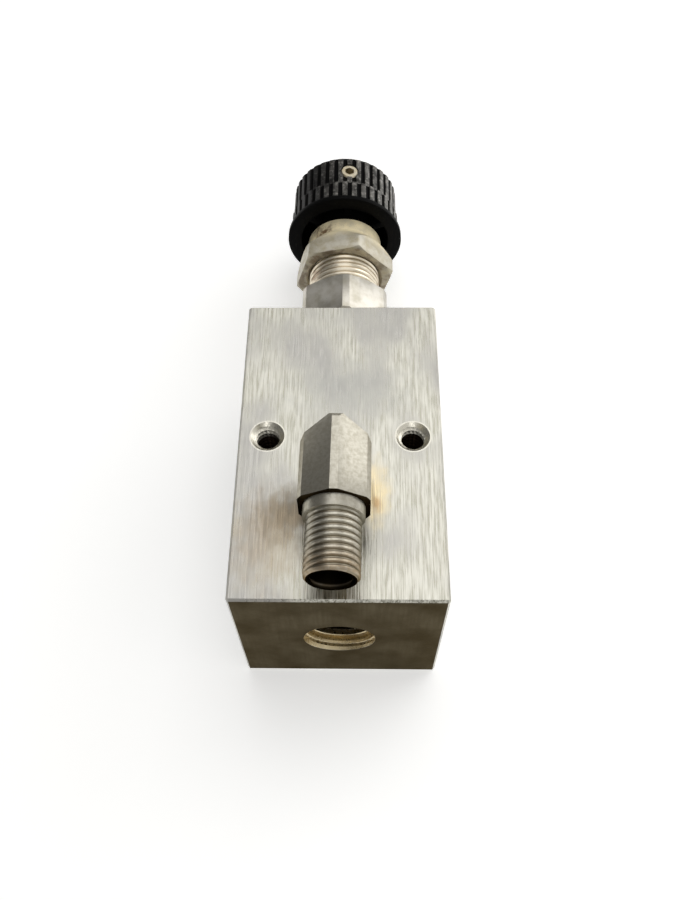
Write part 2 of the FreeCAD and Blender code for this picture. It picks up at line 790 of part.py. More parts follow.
def flute(body, tier_radius, low, high, turn):
    """One groove along a tier's rim, wider at its mouth than at its floor, then the same all the way round."""
    sketch = sketch_on(body, "XZ_Plane", level=-low)
    floor, beyond = tier_radius - size.flute_depth, tier_radius + size.flute_depth
    cosine, sine = math.cos(math.radians(turn)), math.sin(math.radians(turn))
    narrow, wide = size.flute_floor / 2, size.flute_width - size.flute_floor / 2
    corners = [(-narrow, floor), (narrow, floor), (wide, beyond), (-wide, beyond)]
    loop(sketch, [(x * cosine - y * sine, x * sine + y * cosine) for x, y in corners])
    single = pocket(body, sketch, high - low)
    around(body, sketch, single, size.flute_count)


def make_knob():
    """Moulded knob: flange, two fluted tiers half a flute apart, hollow underneath round a ribbed hub."""
    flange, lower, upper = size.knob_flange / 2, size.lower_tier / 2, size.upper_tier / 2
    hub, hollow, crown = size.knob_hub / 2, size.knob_hollow / 2, size.knob_crown
    well = size.insert / 2 + size.insert_play
    insert_start = knob_start + size.insert_foot
    clear = shaft_radius + size.thread_play + size.flute_width
    body = turned("knob", [
        (clear, knob_start), (flange, knob_start), (flange, flange_top), (lower, flange_top),
        (lower, lower_tier_top), (upper, lower_tier_top), (upper, knob_top), (zero, knob_top),
        (zero, insert_top), (well, insert_top), (well, insert_start), (clear, insert_start),
    ], turn=size.knob_turn)

    # Hollow underneath, between the hub and the rim
    hollow_end = knob_top - size.knob_roof - size.knob_rib_setback
    sketch = sketch_on(body, "XY_Plane")
    loop(sketch, [(hub, knob_start), (hollow, knob_start), (hollow, hollow_end), (hub, hollow_end)])
    groove(body, sketch)

    # Ribs across the hollow, set back from the rim's foot, and a block that carries the set screw
    rib_start = knob_start + size.knob_rib_setback
    near, far = hub - size.flute_depth, hollow + size.flute_depth
    half = size.knob_rib / 2
    sketch = sketch_on(body, "XZ_Plane", level=-rib_start)
    loop(sketch, [(-half, near), (half, near), (half, far), (-half, far)])
    rib = pad(body, sketch, hollow_end - rib_start, reverse=True)
    around(body, sketch, rib, size.knob_rib_count)
    half = size.screw_boss / 2
    boss_start = knob_top - size.screw_from_top - half
    sketch = sketch_on(body, "XZ_Plane", level=-boss_start)
    loop(sketch, [(-half, near - size.flute_depth), (half, near - size.flute_depth), (half, far), (-half, far)])
    pad(body, sketch, hollow_end - boss_start, reverse=True)

    # Each ridge between two flutes is flat on top; the upper row stands half a flute round from the lower one
    flats = int(size.flute_count.number)
    half_pitch = ROUND / 2 / flats
    inside_rim = math.cos(math.pi / flats)
    mill_flats(body, size.lower_tier * inside_rim, flange, flange_top, lower_tier_top, flats)
    mill_flats(body, size.upper_tier * inside_rim, flange, lower_tier_top, knob_top, flats, 90.0 + half_pitch)
    bevel(body, crown, lambda edge: edge.BoundBox.YMin > knob_top.number - 1e-3)
    flute(body, lower, flange_top, lower_tier_top, 0.0)
    flute(body, upper, lower_tier_top, knob_top, half_pitch)

    drill_for_screw(body, size.screw / 2 + size.thread_play, upper)
    return body


def drill_for_screw(body, radius, rim):
    """A round hole along local Z at the set screw's place, from beyond the rim to the axis."""
    sketch = sketch_on(body, "XY_Plane")
    circle(sketch, 0, knob_top - size.screw_from_top, radius)
    pocket(body, sketch, rim + size.screw_recess, reverse=True)


def make_insert():
    """Brass sleeve: bored for the stem and tapped across for the set screw."""
    outer, bore = size.insert / 2, shaft_radius + size.insert_play
    foot = knob_start + size.insert_foot
    body = turned("knob_insert", [(bore, foot), (outer, foot), (outer, insert_top), (bore, insert_top)],
                  turn=size.knob_turn)
    drill_for_screw(body, size.screw / 2 + size.thread_play, outer)
    return body


def make_set_screw():
    """Socket set screw along the knob's local Z, its flat point on the stem."""
    radius, point = size.screw / 2, size.screw_point / 2
    foot = shaft_radius + size.insert_play
    head = size.upper_tier / 2 - size.screw_recess
    slope = radius - point
    body = new_body("knob_set_screw", y=knob_top - size.screw_from_top - size.port_to_holes, turn=size.knob_turn)
    sketch = sketch_on(body, "XZ_Plane")
    edge = size.screw_edge
    loop(sketch, [(zero, foot), (point, foot), (radius, foot + slope), (radius, head - edge),
                  (radius - edge, head), (zero, head)])
    turn_solid(body, sketch)
    sketch = sketch_on(body, "XY_Plane", level=head)
    loop(sketch, regular(size.screw_socket))
    pocket(body, sketch, size.screw_socket_depth)
    return body


make_block()
make_elbow()
make_seat()
make_poppet()
make_lower_guide()
make_spring()
make_upper_guide()
make_stem()
make_bonnet()
make_nut()
make_knob()
make_insert()
make_set_screw()
document.recompute()

# Every object has to be sound before anything is written
for thing in document.Objects:
    require("Invalid" not in thing.State and "Error" not in thing.State, f"{thing.Name} failed: {thing.State}")
pieces = [thing for thing in document.Objects if thing.TypeId == "PartDesign::Body"]
for piece in pieces:
    sound = not piece.Shape.isNull() and piece.Shape.isValid() and len(piece.Shape.Solids) == 1
    require(sound, f"{piece.Label} is not one sound solid")

os.makedirs("parts", exist_ok=True)
for piece in pieces:
    piece.Shape.exportStep(f"parts/{piece.Label}.step")
    box = piece.Shape.BoundBox
    print(f"{piece.Label}: {piece.Shape.Volume:.1f} mm3, y {box.YMin:.2f} to {box.YMax:.2f}")
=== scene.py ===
# %% [markdown]
# # Dressing a hydraulic relief valve
#
# The valve is a square bar of stainless steel that lies on its back. Oil comes in at one end, lifts a small
# cone off its seat and leaves through the elbow on the front face. The black knob at the far end squeezes
# the spring that holds the cone down. The solids are finished already. What is left for this lesson is what
# makes them look real: threads, soft edges, and materials that remember how each piece was made.

import json
import math

import bmesh
import bpy
from mathutils import Matrix, Vector


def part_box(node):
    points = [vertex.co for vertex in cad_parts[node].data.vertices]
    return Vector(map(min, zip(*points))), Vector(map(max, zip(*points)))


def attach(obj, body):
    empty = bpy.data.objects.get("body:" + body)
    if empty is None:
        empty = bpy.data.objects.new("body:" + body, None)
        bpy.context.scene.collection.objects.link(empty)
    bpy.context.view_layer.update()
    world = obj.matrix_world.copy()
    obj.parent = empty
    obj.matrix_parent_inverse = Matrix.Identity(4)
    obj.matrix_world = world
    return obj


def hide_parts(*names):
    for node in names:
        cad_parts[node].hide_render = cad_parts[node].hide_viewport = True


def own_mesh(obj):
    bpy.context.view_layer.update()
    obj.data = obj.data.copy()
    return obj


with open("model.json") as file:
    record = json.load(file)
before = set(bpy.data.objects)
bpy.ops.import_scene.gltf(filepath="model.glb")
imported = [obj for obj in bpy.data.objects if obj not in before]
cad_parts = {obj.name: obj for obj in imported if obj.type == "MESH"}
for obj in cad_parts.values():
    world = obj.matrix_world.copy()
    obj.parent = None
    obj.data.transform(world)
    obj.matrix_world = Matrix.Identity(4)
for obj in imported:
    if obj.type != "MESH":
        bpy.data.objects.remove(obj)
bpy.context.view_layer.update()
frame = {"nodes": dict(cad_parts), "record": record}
nodes = frame["nodes"]

# %% [markdown]
# Everything here is in metres, but a valve is thought of in millimetres, so one constant turns the one into
# the other. The valve's own axis runs along Y, at half the depth of the block, and the front face looks up
# along Z.

# %% Units and the lines that the valve is built round
MM = 0.001
block_low, block_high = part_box("valve_block")
axis_height = (block_low.z + block_high.z) / 2
front_mm = block_high.z / MM
print(f"block {(block_high - block_low) / MM} mm, axis {axis_height / MM:.2f} mm above the table")

# %% [markdown]
# The camera stands where the photographer stood. Its place and the way that it looks were worked out from
# the edges of the square block, whose parallel edges meet at vanishing points. `up` and `back` are two of
# the camera's own axes, and the third is square to both. A lens is given for the long side of the picture,
# which is the upright one.

# %% Camera
camera_data = bpy.data.cameras.new("camera")
camera_data.sensor_width = 36
camera_data.lens = 35.47
camera_data.clip_start = 0.01
camera = bpy.data.objects.new("camera", camera_data)
bpy.context.scene.collection.objects.link(camera)
back = Vector((0.0225, -0.512, 0.859)).normalized()
up = Vector((-0.0026, 0.859, 0.512))
right = up.cross(back).normalized()
up = back.cross(right)
turn = Matrix((right, up, back)).transposed().to_4x4()
stand = Vector((3.78, -101.56, 208.95)) * MM
camera.matrix_world = Matrix.Translation(stand) @ turn
bpy.context.scene.camera = camera
print("camera", [round(x, 4) for x in camera.location])

# %% [markdown]
# Colours are easiest to judge as the hex values of a paint program, but a shader wants linear light. One
# function does that. Another adds a shader node, sets its options, links its inputs and hands back one of
# its outputs. A material is then a list of such lines that can be read from top to bottom, each line using
# the ones above it.

# %% Two helpers for materials
def linear(code, alpha=1.0):
    """A colour such as 'C8C4BA' as linear red, green and blue."""
    parts = [int(code[i:i + 2], 16) / 255 for i in (0, 2, 4)]
    return [p / 12.92 if p <= 0.04045 else ((p + 0.055) / 1.055) ** 2.4 for p in parts] + [alpha]


def add(tree, kind, inputs, out=0, **options):
    """Adds one node. An input is a value, or an output of another node, which is then linked."""
    node = tree.nodes.new("ShaderNode" + kind)
    for name, value in options.items():
        setattr(node, name, value)
    for name, value in inputs.items():
        if isinstance(value, bpy.types.NodeSocket):
            tree.links.new(value, node.inputs[name])
        else:
            node.inputs[name].default_value = value
    return node.outputs[out]


print("C8C4BA in linear light:", [round(c, 3) for c in linear("C8C4BA")[:3]])

# %% [markdown]
# Bare metal shows its surroundings more than its own colour, so the room is part of the finish. Four soft
# boxes stand round the valve. The one on the right lights the right-hand flats of every hexagon. A wide one
# hangs almost overhead, where the front face mirrors it. A weak one keeps the left-hand flats from going
# black, and a low one on the camera's side fills the threads and the port end. The world is a plain grey
# that grows from left to right, read from the direction in which a ray leaves, so that the left of the room
# stays dim.

# %% Lights and the room
def soft_box(name, direction, distance, width, watts):
    """A square area lamp that looks at the middle of the block."""
    data = bpy.data.lights.new(name, "AREA")
    data.shape = "SQUARE"
    data.size = width
    data.energy = watts
    lamp = bpy.data.objects.new(name, data)
    bpy.context.scene.collection.objects.link(lamp)
    way = Vector(direction).normalized()
    lamp.location = block_middle + way * distance
    lamp.rotation_mode = "QUATERNION"
    lamp.rotation_quaternion = way.to_track_quat("Z", "Y")


block_middle = Vector((0, 0.02, axis_height))
soft_box("right_box", (0.76, 0.56, 0.42), distance=0.7, width=0.50, watts=1.05)
soft_box("far_box", (0.0, 0.36, 0.93), distance=0.8, width=0.64, watts=1.68)
soft_box("left_box", (-0.62, 0.70, 0.36), distance=0.8, width=0.30, watts=0.10)
soft_box("fill_box", (0.05, -0.70, 0.65), distance=0.9, width=0.50, watts=0.9)

LEFT_OF_ROOM, RIGHT_OF_ROOM = 0.17, 0.80
world = bpy.data.worlds.new("studio")
bpy.context.scene.world = world
world.use_nodes = True
room = world.node_tree
way_out = add(room, "TexCoord", {}, out="Generated")
sideways = add(room, "SeparateXYZ", {"Vector": way_out}, out="X")
brightness = add(room, "MapRange", {"Value": sideways, "From Min": -0.80, "From Max": 1.0,
                                    "To Min": LEFT_OF_ROOM, "To Max": RIGHT_OF_ROOM},
                 interpolation_type="SMOOTHSTEP")
room.links.new(brightness, room.nodes["Background"].inputs["Strength"])
room.nodes["Background"].inputs["Color"].default_value = linear("F4F3F0")

# %% [markdown]
# The valve lies on a plain white card. Light falls off across a card, so the camera would see it turn grey
# at the corners. The card glows a little, but only for the rays that come from the camera or from a
# mirror-like surface, so the background stays pale and the valve itself gets no extra light.

# %% White card
CARD_ACROSS = 6.0
CARD_GLOW = 0.40
bpy.ops.mesh.primitive_plane_add(size=CARD_ACROSS, location=(0, 0, 0))
table = bpy.context.object
table.name = "table"
card = bpy.data.materials.new("matt_white_card")
card.use_nodes = True
tree = card.node_tree
shader = tree.nodes["Principled BSDF"]
shader.inputs["Base Color"].default_value = linear("F7F7F6")
shader.inputs["Roughness"].default_value = 0.9
shader.inputs["Specular IOR Level"].default_value = 0.1
shader.inputs["Emission Color"].default_value = linear("FFFFFF")
seen = add(tree, "LightPath", {}, out="Is Camera Ray")
mirrored = add(tree, "LightPath", {}, out="Is Glossy Ray")
through = add(tree, "LightPath", {}, out="Is Transmission Ray")
either = add(tree, "Math", {0: seen, 1: mirrored}, operation="ADD")
either = add(tree, "Math", {0: either, 1: through}, operation="ADD")
glow = add(tree, "Math", {0: either, 1: CARD_GLOW}, operation="MULTIPLY")
tree.links.new(glow, shader.inputs["Emission Strength"])
table.data.materials.append(card)
bpy.context.scene.view_settings.view_transform = "Standard"
print(card.name, CARD_ACROSS, "m across, laid under the valve")

# %% [markdown]
# Every finish here starts in the same way and ends in the same way. `start_finish` gives a material its
# coordinates in millimetres, so that a pattern can have the size that it has on the real valve, and the
# direction in which each point of the solid faces. `close_finish` connects the colour, the roughness and a
# height whose full swing from 0 to 1 is so many millimetres deep. Clean metal turns white where the eye
# meets it at a glancing angle. A film of oil or tarnish swallows that glint, so a filmed metal hands over a
# colour for it too.

# %% The first and the last lines of a finish
def start_finish(name, metallic):
    """A new material and what its pattern is built from: tree, place in millimetres, facing."""
    material = bpy.data.materials.new(name)
    material.use_nodes = True
    tree = material.node_tree
    tree.nodes["Principled BSDF"].inputs["Metallic"].default_value = metallic
    at = add(tree, "TexCoord", {}, out="Object")
    place = add(tree, "VectorMath", {0: at, "Scale": 1 / MM}, operation="SCALE")
    facing = add(tree, "TexCoord", {}, out="Normal")
    return material, tree, place, facing


def close_finish(tree, colour, roughness, height, depth_mm, glancing=None):
    """Links what a finish came to. Glancing is a colour for the glint of a filmed metal."""
    shader = tree.nodes["Principled BSDF"]
    bump = add(tree, "Bump", {"Height": height, "Distance": depth_mm * MM, "Strength": 1.0})
    tree.links.new(colour, shader.inputs["Base Color"])
    tree.links.new(roughness, shader.inputs["Roughness"])
    tree.links.new(bump, shader.inputs["Normal"])
    if glancing:
        tree.links.new(glancing, shader.inputs["Specular Tint"])


print("one millimetre is", MM, "of Blender's metres")

# %% [markdown]
# The solids have plain cylinders where the real valve has threads. A thread is cut here as on a lathe: a
# cutter with the thread's own profile winds along the cylinder and is taken away from it. The profile is
# given in shares of the pitch, the distance from one turn to the next, so a thread needs only a radius, a
# pitch and a length. A thread that is worn or rolled flat hands over its own depth and mouth.

# %% A cutter that winds along an axis
DEPTH_OF_THREAD = 0.61
HALF_OF_MOUTH = 0.44
HALF_OF_ROOT = 0.09
CLEAR_OF_SURFACE = 0.35


def thread_cutter(name, start, axis, surface, pitch, length, inward=True, steps=32,
                  depth=DEPTH_OF_THREAD, mouth=HALF_OF_MOUTH):
    """A closed helical ridge with the section of a thread, ready to be taken away from a solid. It runs on
    for a turn at either end, so its blunt ends stay out of the way."""
    axis = Vector(axis).normalized()
    side = axis.orthogonal().normalized()
    other = axis.cross(side)
    sign = -1 if inward else 1
    open_side = surface - sign * CLEAR_OF_SURFACE * pitch
    root = surface + sign * depth * pitch
    wide, narrow = mouth * pitch, HALF_OF_ROOT * pitch
    section = [(open_side, -wide), (surface, -wide), (root, -narrow),
               (root, narrow), (surface, wide), (open_side, wide)]
    mesh = bmesh.new()
    rings = []
    turns = length / pitch + 2
    for step in range(int(turns * steps) + 1):
        angle = 2 * math.pi * step / steps
        along = pitch * (step / steps - 1)
        spoke = side * math.cos(angle) + other * math.sin(angle)
        rings.append([mesh.verts.new(Vector(start) + axis * (along + high) + spoke * radius)
                      for radius, high in section])
    count = len(section)
    for ring, following in zip(rings, rings[1:]):
        for i in range(count):
            j = (i + 1) % count
            mesh.faces.new((ring[i], ring[j], following[j], following[i]))
    mesh.faces.new(rings[0])
    mesh.faces.new(rings[-1])
    bmesh.ops.recalc_face_normals(mesh, faces=mesh.faces)
    data = bpy.data.meshes.new(name)
    mesh.to_mesh(data)
    mesh.free()
    cutter = bpy.data.objects.new(name, data)
    bpy.context.scene.collection.objects.link(cutter)
    return cutter


print("a thread with 20 turns to the inch has a pitch of", 25.4 / 20, "mm")

# %% [markdown]
# No machined edge is perfectly sharp, and it is the thin bright line along an edge that tells the eye so.
# Each shown solid is copied, its doubled points are joined, its sharp edges are rounded by a fraction of a
# millimetre, and then the threads are cut. The copy takes the solid's place, so the solid itself isn't
# touched. Each point of a thread also learns how deep it lies, as a number from 0 on the crest to 1 in the
# root, for the dirt that gathers there. What lies further in than the root belongs to a bore, and stays
# clean.

# %% Softening edges and cutting threads
SAME_POINT = 2e-6
FLAT_WITHIN = 0.2
SHARP_ABOVE = 24
JUST_UNDER_ROOT = 0.985


def soft_copy(node, soften_mm):
    """The node's shape as new mesh data, with its sharp edges rounded."""
    mesh = bmesh.new()
    mesh.from_mesh(nodes[node].data)
    bmesh.ops.remove_doubles(mesh, verts=mesh.verts, dist=SAME_POINT)
    bmesh.ops.dissolve_limit(mesh, angle_limit=math.radians(FLAT_WITHIN), verts=mesh.verts, edges=mesh.edges)
    if soften_mm:
        sharp = [edge for edge in mesh.edges
                 if len(edge.link_faces) == 2 and edge.calc_face_angle() > math.radians(SHARP_ABOVE)]
        bmesh.ops.bevel(mesh, geom=sharp, offset=soften_mm * MM, segments=2, profile=0.5, affect="EDGES",
                        clamp_overlap=True)
    bmesh.ops.triangulate(mesh, faces=[f for f in mesh.faces if len(f.verts) > 4])
    data = bpy.data.meshes.new(node + "_dressed")
    mesh.to_mesh(data)
    mesh.free()
    if "custom_normal" in data.attributes:
        data.attributes.remove(data.attributes["custom_normal"])
    return data


def cut_threads(piece, cutters):
    """Takes each cutter away from the piece, and then removes the cutter."""
    for cutter in cutters:
        modifier = piece.modifiers.new(cutter.name, "BOOLEAN")
        modifier.operation = "DIFFERENCE"
        modifier.solver = "EXACT"
        modifier.object = cutter
        bpy.context.view_layer.update()
        shaped = piece.evaluated_get(bpy.context.evaluated_depsgraph_get())
        piece.data = bpy.data.meshes.new_from_object(shaped)
        piece.modifiers.clear()
        bpy.data.objects.remove(cutter)


def mark_depth(piece, zones):
    """Stores how deep each point lies in a thread. A zone is a start, an axis, the stretch along it and the
    radii of crest and root."""
    depth = piece.data.attributes.new("thread_depth", "FLOAT", "POINT")
    for start, axis, low, high, crest, root in zones:
        for point, value in zip(piece.data.vertices, depth.data):
            along = (point.co - start).dot(axis)
            radius = ((point.co - start) - axis * along).length
            if low < along < high and radius > JUST_UNDER_ROOT * root:
                value.value = max(value.value, min(1.0, max(0.0, (crest - radius) / (crest - root))))


print("edges that turn by more than", SHARP_ABOVE, "degrees are rounded")

# %% [markdown]
# A dressed piece moves with the body that its solid belongs to, hides that solid and takes the material that
# it is given. Faces that meet at more than 32 degrees keep a hard line between them, and the rest is shaded
# as one smooth surface.

# %% A dressed copy that takes its solid's place
SMOOTH_BELOW = 32


def dressed(node, material, soften_mm=0.0, cutters=(), thread_zones=()):
    """Copies a solid, softens and threads the copy, and puts it in the solid's place."""
    piece = bpy.data.objects.new(node + "_dressed", soft_copy(node, soften_mm))
    bpy.context.scene.collection.objects.link(piece)
    cut_threads(piece, cutters)
    mark_depth(piece, thread_zones)
    piece.data.polygons.foreach_set("use_smooth", [True] * len(piece.data.polygons))
    piece.data.set_sharp_from_angle(angle=math.radians(SMOOTH_BELOW))
    piece.data.materials.clear()
    piece.data.materials.append(material)
    bodies = frame["record"]["behaviour"]["bodies"]
    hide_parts(node)
    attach(piece, next(body for body, members in bodies.items() if node in members))
    print(piece.name, len(piece.data.polygons), "faces")
    return piece


print("faces that meet at more than", SMOOTH_BELOW, "degrees keep a hard edge")

# %% [markdown]
# The block is stainless bar whose long sides were ground on a belt. A belt leaves parallel scratches about
# a tenth of a millimetre wide and a few centimetres long, so a noise is squeezed across the bar and
# stretched along it. One pixel of the picture is a fifth of a millimetre, so the scratches are drawn
# coarser than they are, in two layers, or nothing of them would show. Some of the streak is colour and the
# rest is roughness, which spreads the light.

# %% Ground stainless steel
BELT_PATTERNS = (
    ("scratches", 0.25, 16.0, 2.0),
    ("strokes", 0.60, 6.0, 3.0),
    ("clouds", 12.0, 20.0, 3.0),
    ("ragged", 2.0, 3.0, 4.0),
)


def soft_patch(tree, colour, place, ragged, middle, reach, code, amount):
    """Lays a soft patch over a colour, for stains and painted shade alike. Middle and reach are in
    millimetres, ragged is noise for the edge.
    """
    off = add(tree, "VectorMath", {0: place, 1: middle}, operation="SUBTRACT")
    scaled = add(tree, "VectorMath", {0: off, 1: [1 / length for length in reach]}, operation="MULTIPLY")
    distance = add(tree, "VectorMath", {0: scaled}, out="Value", operation="LENGTH")
    edge = add(tree, "Math", {0: distance, 1: ragged}, operation="ADD")
    share = add(tree, "MapRange", {"Value": edge, "From Min": 0.35, "From Max": 1.35, "To Min": amount,
                                   "To Max": 0.0}, interpolation_type="SMOOTHSTEP")
    return add(tree, "Mix", {0: share, 6: colour, 7: linear(code)}, out=2, data_type="RGBA")


def ground_stainless(stains_and_shade):
    """The long sides of the bar, with clouds, stain patches and painted shadow, as everything that
    close_finish needs.
    """
    material, tree, place, facing = start_finish("belt_ground_stainless_bar", 1.0)
    patterns = {}
    for word, width, length, detail in BELT_PATTERNS:
        along_bar = (1 / width, 1 / length, 1 / width)
        squeezed = add(tree, "VectorMath", {0: place, 1: along_bar}, operation="MULTIPLY")
        patterns[word] = add(tree, "TexNoise", {"Vector": squeezed, "Scale": 1.0, "Detail": detail}, out=0)
    fine = add(tree, "MapRange", {"Value": patterns["scratches"], "From Min": 0.30, "From Max": 0.70})
    coarse = add(tree, "MapRange", {"Value": patterns["strokes"], "From Min": 0.34, "From Max": 0.66})
    cloudy = add(tree, "MapRange", {"Value": patterns["clouds"], "From Min": 0.38, "From Max": 0.68},
                 interpolation_type="SMOOTHSTEP")
    both = add(tree, "Mix", {0: 0.5, 2: fine, 3: coarse}, data_type="FLOAT")
    streaks = add(tree, "MapRange", {"Value": both, "From Min": 0.25, "From Max": 0.75})
    colour = add(tree, "Mix", {0: streaks, 6: linear("9F9D91"), 7: linear("D6D4CA")}, out=2, data_type="RGBA")
    colour = add(tree, "Mix", {0: cloudy, 6: colour, 7: linear("A9A7A2")}, out=2, data_type="RGBA")

    ragged = add(tree, "MapRange", {"Value": patterns["ragged"], "From Min": 0.25, "From Max": 0.75,
                                    "To Max": 0.5})
    # Patches go over the colour: stains, and the elbow's painted shadow.
    for middle, reach, code, amount in stains_and_shade:
        colour = soft_patch(tree, colour, place, ragged, middle, reach, code, amount)

    rough = add(tree, "MapRange", {"Value": streaks, "To Min": 0.25, "To Max": 0.41})
    return material, tree, place, facing, colour, rough, streaks


for word, width, length, _ in BELT_PATTERNS:
    print(word, width, "by", length, "mm")

# %% [markdown]
# A hole in bright metal looks dark, because light that enters has to bounce many times before it leaves,
# and loses some at each bounce. That darkness is painted into the colour here, by depth: a painted
# highlight at the countersink, and painted shade that is nearly black a few millimetres down. The colour
# ends at the hole's floor, so that nothing behind it is touched.

# %% Painted light and shade in holes
SQUARE_TO_Y = (1, 0, 1)
SQUARE_TO_Z = (1, 1, 0)


def painted_hole_light_and_shade(tree, colour, place, mouth, across, radius, deep_from, deep_to, code, floor):
    """Paints a round hole down to its floor: a pale colour at the mouth is a painted highlight, a dark one
    below is painted shade. Across is 1 for the directions square to its axis, and depth counts from its
    mouth."""
    off = add(tree, "VectorMath", {0: place, 1: mouth}, operation="SUBTRACT")
    sideways = add(tree, "VectorMath", {0: off, 1: across}, operation="MULTIPLY")
    from_axis = add(tree, "VectorMath", {0: sideways}, out="Value", operation="LENGTH")
    inside = add(tree, "Math", {0: from_axis, 1: radius}, operation="LESS_THAN")
    along = add(tree, "VectorMath", {0: off, 1: [1 - part for part in across]}, operation="MULTIPLY")
    depth = add(tree, "VectorMath", {0: along}, out="Value", operation="LENGTH")
    deep = add(tree, "MapRange", {"Value": depth, "From Min": deep_from, "From Max": deep_to},
               interpolation_type="SMOOTHSTEP")
    share = add(tree, "Math", {0: inside, 1: deep}, operation="MULTIPLY")
    above_floor = add(tree, "Math", {0: depth, 1: floor}, operation="LESS_THAN")
    share = add(tree, "Math", {0: share, 1: above_floor}, operation="MULTIPLY")
    return add(tree, "Mix", {0: share, 6: colour, 7: linear(code)}, out=2, data_type="RGBA")


print("holes are bright at the mouth and dark below")

# %% [markdown]
# The end with the inlet port was sawn and faced, not ground. It keeps a thin brown-grey film, and it stands
# in its own shade, which is painted into the film's colour as painted shade, so it is by far the darkest
# side of the block. The film is laid only where the surface faces the port end. The port's mouth is painted
# lighter, as a painted highlight on its rim.

# %% Film and painted shade on the port end
# This mask carries painted shade on what looks toward the port end.
def faces_port_end(tree, facing):
    """A share of 1 where the surface looks along the valve toward the port end."""
    toward_port = add(tree, "SeparateXYZ", {"Vector": facing}, out="Y")
    return add(tree, "MapRange", {"Value": toward_port, "From Min": -0.95, "From Max": -0.80, "To Min": 1.0,
                                  "To Max": 0.0}, interpolation_type="SMOOTHSTEP")


def port_end_film_and_shade(tree, place, facing, colour, rough):
    """Adds the end's brown-grey coat and painted shade, with saw lines; hands back colour, roughness and
    glancing colour.
    """
    along = add(tree, "SeparateXYZ", {"Vector": place}, out="Y")
    on_end = faces_port_end(tree, facing)
    end = block_low.y / MM
    at_end = add(tree, "MapRange", {"Value": along, "From Min": end + 0.05, "From Max": end + 0.6,
                                    "To Min": 1.0, "To Max": 0.0})
    filmed = add(tree, "Math", {0: on_end, 1: at_end}, operation="MULTIPLY")
    squeezed = add(tree, "VectorMath", {0: place, 1: (1 / 0.7, 1 / 40, 1 / 12)}, operation="MULTIPLY")
    saw_lines = add(tree, "TexNoise", {"Vector": squeezed, "Scale": 1.0, "Detail": 3.0}, out=0)
    lumps = add(tree, "TexNoise", {"Vector": place, "Scale": 1 / 9, "Detail": 4.0}, out=0)
    lumpy = add(tree, "MapRange", {"Value": lumps, "From Min": 0.35, "From Max": 0.65})
    # The film's colours are darker than the film alone, as painted shade.
    film_and_shade = add(tree, "Mix", {0: lumpy, 6: linear("423B30"), 7: linear("6E6758")}, out=2, data_type="RGBA")
    film_and_shade = add(tree, "Mix", {0: saw_lines, 6: film_and_shade, 7: linear("4B453A")}, out=2, data_type="RGBA")
    colour = add(tree, "Mix", {0: filmed, 6: colour, 7: film_and_shade}, out=2, data_type="RGBA")
    rough = add(tree, "Mix", {0: filmed, 2: rough, 3: 0.6}, data_type="FLOAT")
    glancing = add(tree, "Mix", {0: filmed, 6: linear("FFFFFF"), 7: linear("C6BCA8")}, out=2,
                   data_type="RGBA")
    return colour, rough, glancing


print("the film lies on the end at", round(block_low.y / MM, 1), "mm")

# %% [markdown]
# Oil has crept out from under the elbow and dried. It left a straw patch with a rusty core on the right. On
# the left, a dark patch is the elbow's painted shadow, and a wide pale brown patch round it is partly the
# shadow's soft edge and partly a brown stain. A faint grey cloud lies nearer the knob. Each patch is
# written as its middle, its reach each way, its colour and its strength. A hole is written as its mouth,
# the directions across it, a radius, the two depths between which the colour sets in, the colour, and the
# floor's depth.

# %% The block's material
HOLE_X = 31.75 / 2
left_hole = (-HOLE_X, 0, front_mm)
right_hole = (HOLE_X, 0, front_mm)
port = (0, block_low.y / MM, axis_height / MM)
BOLT_HOLE_FLOOR = 44.4
PORT_FLOOR = 25.0
STAINS_AND_SHADOW = (
    ((7.6, -14.0, front_mm), (3.8, 9.5, 4.0), "DACAA4", 0.90),
    ((7.8, -16.5, front_mm), (1.3, 2.6, 4.0), "9A7448", 0.65),
    # Painted shadow of the elbow: this dark patch, and the wide one below it, which is partly a brown stain.
    ((-11.0, -19.5, front_mm), (7.5, 8.5, 4.0), "4F473B", 0.90),
    ((-14.5, -24.5, front_mm), (11.0, 15.0, 4.0), "998B76", 0.60),
    ((2.0, 12.0, front_mm), (18.0, 11.0, 4.0), "9C9C98", 0.50),
)
ground_steel, tree, place, facing, colour, rough, streaks = ground_stainless(STAINS_AND_SHADOW)
colour, rough, glancing = port_end_film_and_shade(tree, place, facing, colour, rough)
# Each hole gets a painted highlight on its rim from the first three rows, and painted shade deeper down from
# the last three.
for mouth, across, radius, deep_from, deep_to, code, floor in (
    (left_hole, SQUARE_TO_Z, 4.0, -0.1, 0.1, "E4E0D3", BOLT_HOLE_FLOOR),
    (right_hole, SQUARE_TO_Z, 4.0, -0.1, 0.1, "E4E0D3", BOLT_HOLE_FLOOR),
    (port, SQUARE_TO_Y, 8.1, 0.0, 0.1, "DCCDAA", PORT_FLOOR),
    (left_hole, SQUARE_TO_Z, 3.4, 1.8, 4.6, "1E1712", BOLT_HOLE_FLOOR),
    (right_hole, SQUARE_TO_Z, 3.4, 1.8, 4.0, "1A140E", BOLT_HOLE_FLOOR),
    (port, SQUARE_TO_Y, 8.1, 2.6, 5.5, "2E251C", PORT_FLOOR),
):
    colour = painted_hole_light_and_shade(tree, colour, place, mouth, across, radius, deep_from, deep_to, code, floor)
close_finish(tree, colour, rough, streaks, 0.012, glancing)
print(ground_steel.name, "with", len(tree.nodes), "nodes")

# %% [markdown]
# The port has 18 turns to the inch. Its last turns run out in the wide mouth, so a second cutter leaves a
# ridge or two there. The mounting holes have 20 turns to the inch. They are only seen at their mouths, so
# 20 steps to a turn are enough.

